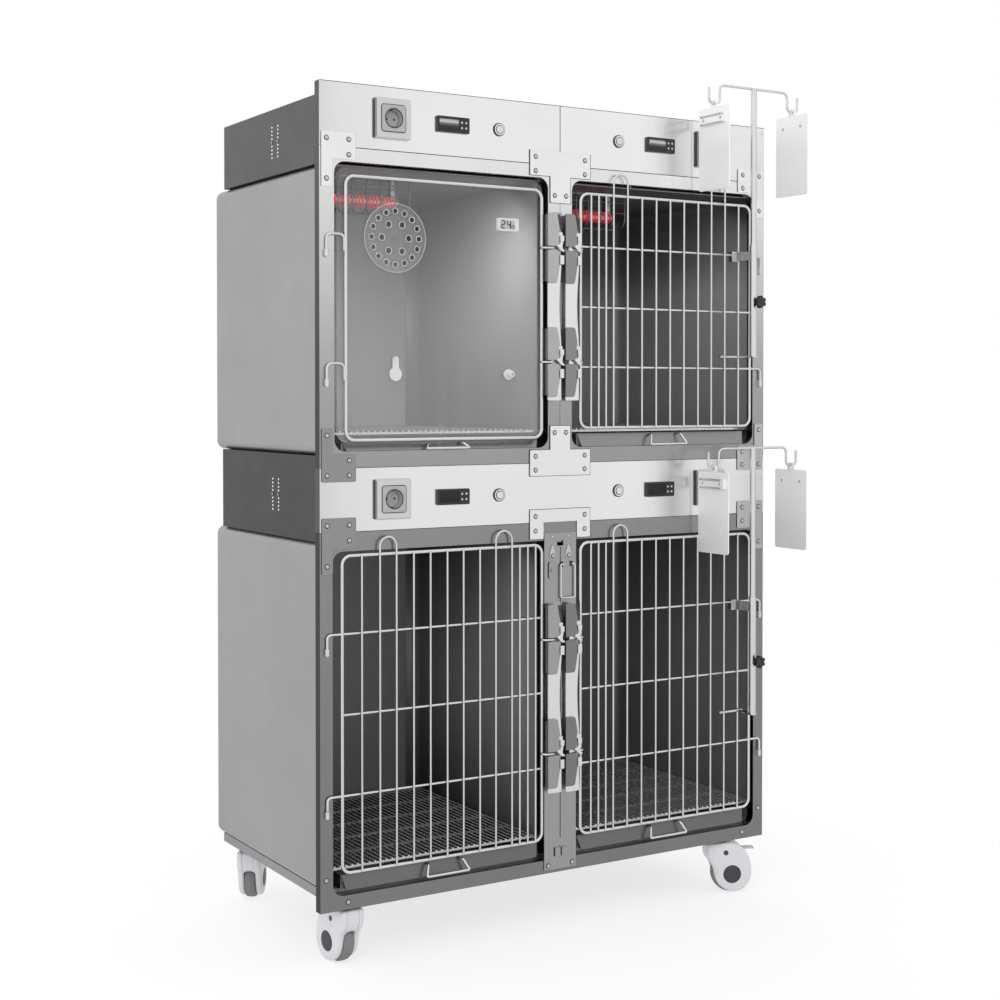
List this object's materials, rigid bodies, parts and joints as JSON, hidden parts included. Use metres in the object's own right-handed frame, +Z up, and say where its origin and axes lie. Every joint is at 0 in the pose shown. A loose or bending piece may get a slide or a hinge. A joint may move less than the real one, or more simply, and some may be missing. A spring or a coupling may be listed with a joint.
{
  "type": "kennel cage",
  "caption": "Two-tier stainless veterinary kennel cage on casters, with wire grille doors, a clear vented door, slide-out trays, floor grates and drip poles.",
  "frame": {"origin": "floor level, mid width, in the plane of the front sheet", "axes": "+Z up, +X to the right seen from the front, +Y towards the back; the doors face -Y"},
  "size_m": [1.267, 0.7806, 1.9795],
  "materials": {
    "black_plastic": "black moulded plastic",
    "brushed_steel": "brushed stainless sheet",
    "chrome_wire": "bright chromed wire",
    "clear_panel": "clear polycarbonate panel",
    "dark_housing": "grey latch housing",
    "grey_paint": "dark grey painted sheet",
    "lamp_glass": "red infrared lamp tube",
    "polished_steel": "bright polished stainless sheet",
    "satin_steel": "satin stainless sheet",
    "tyre_grey": "grey rubber tread",
    "white_plastic": "white moulded plastic"
  },
  "bodies": {
    "root": {"upper_front_frames": "brushed_steel", "lower_front_frame": "brushed_steel", "fascia_panels": "polished_steel", "gusset_plates": "polished_steel", "rivets": "chrome_wire", "upper_cage_shell": "satin_steel", "lower_cage_shell": "satin_steel", "cage_dividers": "satin_steel", "electrics_boxes": "grey_paint", "base_frame": "brushed_steel", "hinge_eyes": "chrome_wire", "latch_housings": "dark_housing", "centre_post": "brushed_steel", "floor_grates": "chrome_wire", "power_sockets": "white_plastic", "temperature_controllers": "black_plastic", "button_bezels": "chrome_wire", "cell_lamps": "lamp_glass", "lamp_guards": "chrome_wire"},
    "door_upper_left": {"glass_door_ring": "chrome_wire", "glass_panel": "clear_panel", "panel_fittings": "white_plastic"},
    "door_upper_right": {"upper_right_door": "chrome_wire", "pole_tube_upper": "chrome_wire"},
    "door_lower_left": {"lower_left_door": "chrome_wire"},
    "door_lower_right": {"lower_right_door": "chrome_wire", "pole_tube_lower": "chrome_wire"},
    "vent_disc": {"vent_shutter": "white_plastic"},
    "port_flap": {"port_cover": "white_plastic"},
    "post_bail": {"post_handle": "chrome_wire"},
    "latch_upper_left": {"latch_plate_upper_left": "chrome_wire"},
    "latch_upper_right": {"latch_plate_upper_right": "chrome_wire"},
    "latch_lower_left": {"latch_plate_lower_left": "chrome_wire"},
    "latch_lower_right": {"latch_plate_lower_right": "chrome_wire"},
    "waste_tray_upper_left": {"tray_upper_left": "brushed_steel"},
    "waste_tray_upper_right": {"tray_upper_right": "brushed_steel"},
    "waste_tray_lower_left": {"tray_lower_left": "brushed_steel"},
    "waste_tray_lower_right": {"tray_lower_right": "brushed_steel"},
    "button_upper_left": {"push_button_upper_left": "chrome_wire"},
    "button_upper_right": {"push_button_upper_right": "chrome_wire"},
    "button_lower_left": {"push_button_lower_left": "chrome_wire"},
    "button_lower_right": {"push_button_lower_right": "chrome_wire"},
    "swivel_front_left": {"caster_front_left": "white_plastic"},
    "roller_front_left": {"wheel_front_left": "tyre_grey"},
    "swivel_front_right": {"caster_front_right": "white_plastic"},
    "roller_front_right": {"wheel_front_right": "tyre_grey"},
    "swivel_rear_left": {"caster_rear_left": "white_plastic"},
    "roller_rear_left": {"wheel_rear_left": "tyre_grey"},
    "swivel_rear_right": {"caster_rear_right": "white_plastic"},
    "roller_rear_right": {"wheel_rear_right": "tyre_grey"},
    "pedal_front_left": {"brake_pedal_front_left": "brushed_steel"},
    "pedal_front_right": {"brake_pedal_front_right": "brushed_steel"},
    "drip_rod_upper": {"pole_rod_upper": "chrome_wire"},
    "clamp_knob_upper": {"pole_knob_upper": "black_plastic"},
    "chart_board_upper_left": {"clipboard_upper_left": "satin_steel"},
    "chart_board_upper_right": {"clipboard_upper_right": "satin_steel"},
    "drip_rod_lower": {"pole_rod_lower": "chrome_wire"},
    "clamp_knob_lower": {"pole_knob_lower": "black_plastic"},
    "chart_board_lower_left": {"clipboard_lower_left": "satin_steel"},
    "chart_board_lower_right": {"clipboard_lower_right": "satin_steel"}
  },
  "joints": [
    {"name": "upper_left_door_swing", "type": "hinge", "parent": "root", "child": "door_upper_left", "pos_m": [-0.5952, -0.005, 1.3], "axis": [0, 0, -1], "range_deg": [0, 120]},
    {"name": "lower_left_door_swing", "type": "hinge", "parent": "root", "child": "door_lower_left", "pos_m": [-0.5952, -0.005, 0.5], "axis": [0, 0, -1], "range_deg": [0, 120]},
    {"name": "upper_right_door_swing", "type": "hinge", "parent": "root", "child": "door_upper_right", "pos_m": [0.5952, -0.005, 1.3], "axis": [0, 0, 1], "range_deg": [0, 85]},
    {"name": "lower_right_door_swing", "type": "hinge", "parent": "root", "child": "door_lower_right", "pos_m": [0.5952, -0.005, 0.5], "axis": [0, 0, 1], "range_deg": [0, 85]},
    {"name": "vent_disc_turn", "type": "hinge", "parent": "door_upper_left", "child": "vent_disc", "pos_m": [-0.43, -0.0015, 1.575], "axis": [0, 1, 0], "range_deg": [0, 22.5]},
    {"name": "port_flap_swing", "type": "hinge", "parent": "door_upper_left", "child": "port_flap", "pos_m": [-0.4292, 0, 1.311], "axis": [0, 1, 0], "range_deg": [-90, 90]},
    {"name": "latch_lift_upper_left", "type": "slide", "parent": "root", "child": "latch_upper_left", "axis": [0, 0, 1], "range_m": [0, 0.012]},
    {"name": "latch_lift_upper_right", "type": "slide", "parent": "root", "child": "latch_upper_right", "axis": [0, 0, 1], "range_m": [0, 0.012]},
    {"name": "latch_lift_lower_left", "type": "slide", "parent": "root", "child": "latch_lower_left", "axis": [0, 0, 1], "range_m": [0, 0.012]},
    {"name": "latch_lift_lower_right", "type": "slide", "parent": "root", "child": "latch_lower_right", "axis": [0, 0, 1], "range_m": [0, 0.012]},
    {"name": "tray_pull_upper_left", "type": "slide", "parent": "root", "child": "waste_tray_upper_left", "axis": [0, -1, 0], "range_m": [0, 0.55]},
    {"name": "tray_pull_upper_right", "type": "slide", "parent": "root", "child": "waste_tray_upper_right", "axis": [0, -1, 0], "range_m": [0, 0.55]},
    {"name": "tray_pull_lower_left", "type": "slide", "parent": "root", "child": "waste_tray_lower_left", "axis": [0, -1, 0], "range_m": [0, 0.55]},
    {"name": "tray_pull_lower_right", "type": "slide", "parent": "root", "child": "waste_tray_lower_right", "axis": [0, -1, 0], "range_m": [0, 0.55]},
    {"name": "button_press_upper_left", "type": "slide", "parent": "root", "child": "button_upper_left", "axis": [0, 1, 0], "range_m": [0, 0.003], "stiffness_N_per_m": 400},
    {"name": "button_press_upper_right", "type": "slide", "parent": "root", "child": "button_upper_right", "axis": [0, 1, 0], "range_m": [0, 0.003], "stiffness_N_per_m": 400},
    {"name": "button_press_lower_left", "type": "slide", "parent": "root", "child": "button_lower_left", "axis": [0, 1, 0], "range_m": [0, 0.003], "stiffness_N_per_m": 400},
    {"name": "button_press_lower_right", "type": "slide", "parent": "root", "child": "button_lower_right", "axis": [0, 1, 0], "range_m": [0, 0.003], "stiffness_N_per_m": 400},
    {"name": "caster_swivel_front_left", "type": "hinge", "parent": "root", "child": "swivel_front_left", "pos_m": [-0.532, 0.034, 0.11], "axis": [0, 0, 1], "continuous": true},
    {"name": "wheel_spin_front_left", "type": "hinge", "parent": "swivel_front_left", "child": "roller_front_left", "pos_m": [-0.53555, 0.06781, 0.048], "axis": [-0.9945, -0.1045, 0], "continuous": true},
    {"name": "caster_swivel_front_right", "type": "hinge", "parent": "root", "child": "swivel_front_right", "pos_m": [0.49, 0.034, 0.11], "axis": [0, 0, 1], "continuous": true},
    {"name": "wheel_spin_front_right", "type": "hinge", "parent": "swivel_front_right", "child": "roller_front_right", "pos_m": [0.52081, 0.01963, 0.048], "axis": [0.4226, 0.9063, 0], "continuous": true},
    {"name": "caster_swivel_rear_left", "type": "hinge", "parent": "root", "child": "swivel_rear_left", "pos_m": [-0.532, 0.566, 0.11], "axis": [0, 0, 1], "continuous": true},
    {"name": "wheel_spin_rear_left", "type": "hinge", "parent": "swivel_rear_left", "child": "roller_rear_left", "pos_m": [-0.51398, 0.59483, 0.048], "axis": [-0.848, 0.5299, 0], "continuous": true},
    {"name": "caster_swivel_rear_right", "type": "hinge", "parent": "root", "child": "swivel_rear_right", "pos_m": [0.49, 0.566, 0.11], "axis": [0, 0, 1], "continuous": true},
    {"name": "wheel_spin_rear_right", "type": "hinge", "parent": "swivel_rear_right", "child": "roller_rear_right", "pos_m": [0.52195, 0.57763, 0.048], "axis": [-0.342, 0.9397, 0], "continuous": true},
    {"name": "pedal_press_front_left", "type": "hinge", "parent": "swivel_front_left", "child": "pedal_front_left", "pos_m": [-0.53848, 0.09566, 0.095], "axis": [-0.9945, -0.1045, 0], "range_deg": [0, 15]},
    {"name": "pedal_press_front_right", "type": "hinge", "parent": "swivel_front_right", "child": "pedal_front_right", "pos_m": [0.54619, 0.0078, 0.095], "axis": [0.4226, 0.9063, 0], "range_deg": [0, 15]},
    {"name": "pole_height_upper", "type": "slide", "parent": "door_upper_right", "child": "drip_rod_upper", "axis": [0, 0, 1], "range_m": [0, 0.15]},
    {"name": "knob_turn_upper", "type": "hinge", "parent": "door_upper_right", "child": "clamp_knob_upper", "pos_m": [0.516, -0.09, 1.46], "axis": [0, 1, 0], "continuous": true},
    {"name": "board_swing_upper_left", "type": "hinge", "parent": "drip_rod_upper", "child": "chart_board_upper_left", "pos_m": [0.394, -0.072, 1.9305], "axis": [-1, 0, 0], "range_deg": [0, 20]},
    {"name": "board_swing_upper_right", "type": "hinge", "parent": "drip_rod_upper", "child": "chart_board_upper_right", "pos_m": [0.638, -0.072, 1.9305], "axis": [-1, 0, 0], "range_deg": [0, 20]},
    {"name": "pole_height_lower", "type": "slide", "parent": "door_lower_right", "child": "drip_rod_lower", "axis": [0, 0, 1], "range_m": [0, 0.15]},
    {"name": "knob_turn_lower", "type": "hinge", "parent": "door_lower_right", "child": "clamp_knob_lower", "pos_m": [0.516, -0.09, 0.587], "axis": [0, 1, 0], "continuous": true},
    {"name": "board_swing_lower_left", "type": "hinge", "parent": "drip_rod_lower", "child": "chart_board_lower_left", "pos_m": [0.394, -0.072, 1.0597], "axis": [-1, 0, 0], "range_deg": [0, 20]},
    {"name": "board_swing_lower_right", "type": "hinge", "parent": "drip_rod_lower", "child": "chart_board_lower_right", "pos_m": [0.638, -0.072, 1.0597], "axis": [-1, 0, 0], "range_deg": [0, 20]},
    {"name": "post_handle_swing", "type": "hinge", "parent": "root", "child": "post_bail", "pos_m": [0.018, -0.0072, 0.844], "axis": [-1, 0, 0], "range_deg": [0, 80]}
  ]
}
